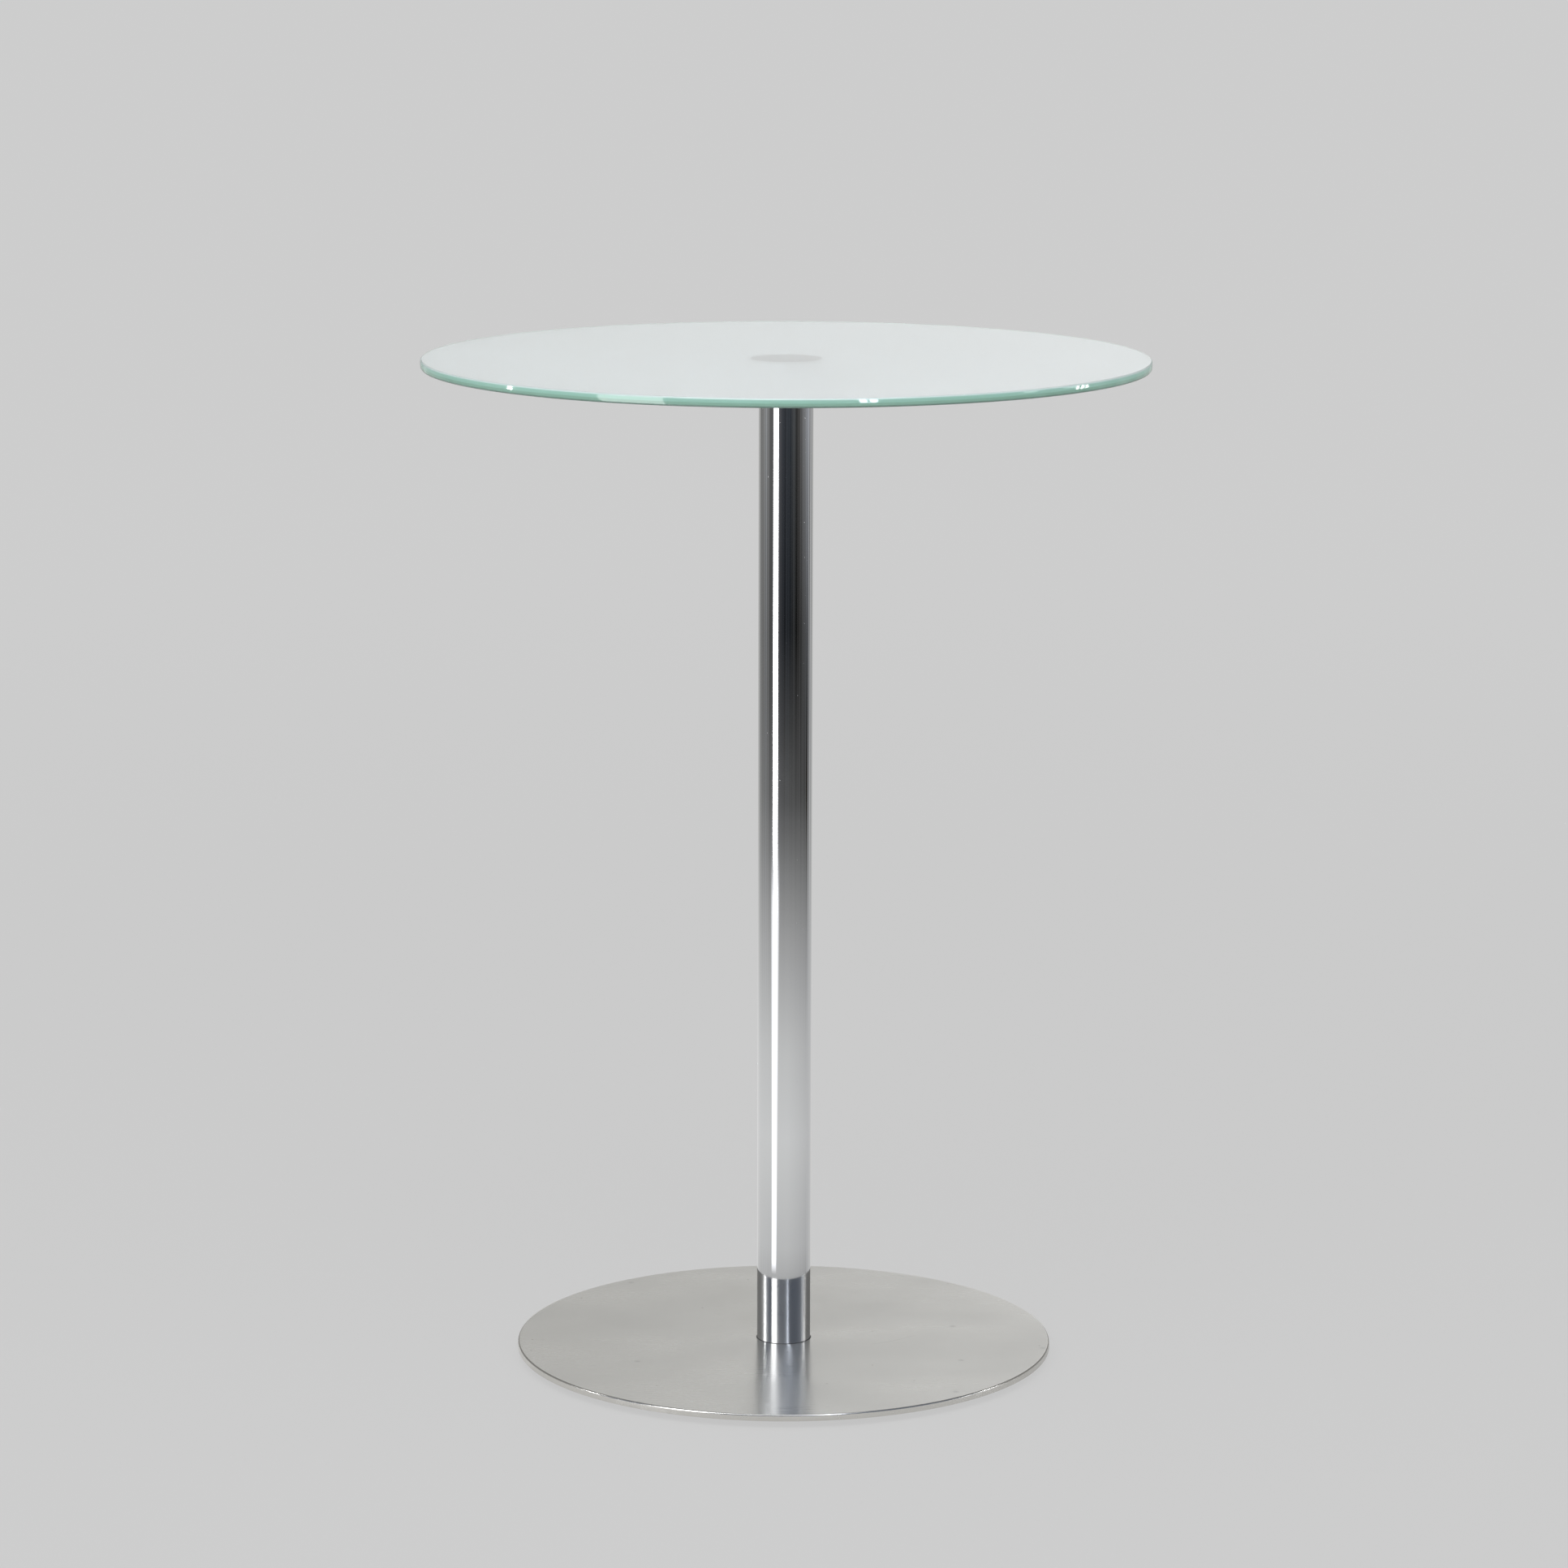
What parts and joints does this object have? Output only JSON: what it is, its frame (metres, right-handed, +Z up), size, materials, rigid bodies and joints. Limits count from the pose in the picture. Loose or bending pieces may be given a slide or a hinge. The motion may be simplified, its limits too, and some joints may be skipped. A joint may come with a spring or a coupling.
{
  "type": "bar table",
  "caption": "Bar-height pedestal table: round satin glass top with a polished green edge, chrome tube column and a flat brushed steel base on levelling glides.",
  "frame": {"origin": "on the floor, on the axis of the column", "axes": "+Z up the column; X and Y lie level, and the base's brushing runs along X"},
  "size_m": [0.7999, 0.8, 1.125],
  "materials": {
    "satin_glass": "satin faces, polished green edge",
    "clear_adhesive": "clear cured adhesive",
    "turned_steel": "turned, bare",
    "zinc_steel": "zinc plated",
    "chrome": "bright chrome plate",
    "brushed_stainless": "straight brushed",
    "black_steel": "matt black coat",
    "black_rubber": "moulded",
    "black_nylon": "moulded",
    "foam_tape": "double-sided tape"
  },
  "bodies": {
    "table": {"glass_top": "satin_glass", "bond_film": "clear_adhesive", "mount_disc": "turned_steel", "top_stud": "zinc_steel", "top_washer": "black_nylon", "head_plug": "turned_steel", "column_tube": "chrome", "foot_plug": "turned_steel", "foot_seal": "black_rubber", "base_cover": "brushed_stainless", "cover_tape": "foam_tape", "base_plate": "black_steel", "base_screws": "zinc_steel"},
    "pad_1": {"glide_pad_1": "black_nylon"},
    "stud_1": {"glide_stud_1": "zinc_steel"},
    "pad_2": {"glide_pad_2": "black_nylon"},
    "stud_2": {"glide_stud_2": "zinc_steel"},
    "pad_3": {"glide_pad_3": "black_nylon"},
    "stud_3": {"glide_stud_3": "zinc_steel"},
    "pad_4": {"glide_pad_4": "black_nylon"},
    "stud_4": {"glide_stud_4": "zinc_steel"}
  },
  "joints": [
    {"name": "glide_1_height", "type": "slide", "parent": "table", "child": "pad_1", "axis": [0, 0, -1], "range_m": [0, 0.0025]},
    {"name": "glide_1_turn", "type": "hinge", "parent": "pad_1", "child": "stud_1", "pos_m": [0.16971, 0.16971, 0.0057], "axis": [0, 0, -1], "range_deg": [0, 720]},
    {"name": "glide_2_height", "type": "slide", "parent": "table", "child": "pad_2", "axis": [0, 0, -1], "range_m": [0, 0.0025]},
    {"name": "glide_2_turn", "type": "hinge", "parent": "pad_2", "child": "stud_2", "pos_m": [-0.16971, 0.16971, 0.0057], "axis": [0, 0, -1], "range_deg": [0, 720]},
    {"name": "glide_3_height", "type": "slide", "parent": "table", "child": "pad_3", "axis": [0, 0, -1], "range_m": [0, 0.0025]},
    {"name": "glide_3_turn", "type": "hinge", "parent": "pad_3", "child": "stud_3", "pos_m": [-0.16971, -0.16971, 0.0057], "axis": [0, 0, -1], "range_deg": [0, 720]},
    {"name": "glide_4_height", "type": "slide", "parent": "table", "child": "pad_4", "axis": [0, 0, -1], "range_m": [0, 0.0025]},
    {"name": "glide_4_turn", "type": "hinge", "parent": "pad_4", "child": "stud_4", "pos_m": [0.16971, -0.16971, 0.0057], "axis": [0, 0, -1], "range_deg": [0, 720]}
  ],
  "couplings": [
    {"joint": "glide_1_height", "follows": "glide_1_turn", "m_per_rad": 0.00019894},
    {"joint": "glide_2_height", "follows": "glide_2_turn", "m_per_rad": 0.00019894},
    {"joint": "glide_3_height", "follows": "glide_3_turn", "m_per_rad": 0.00019894},
    {"joint": "glide_4_height", "follows": "glide_4_turn", "m_per_rad": 0.00019894}
  ]
}
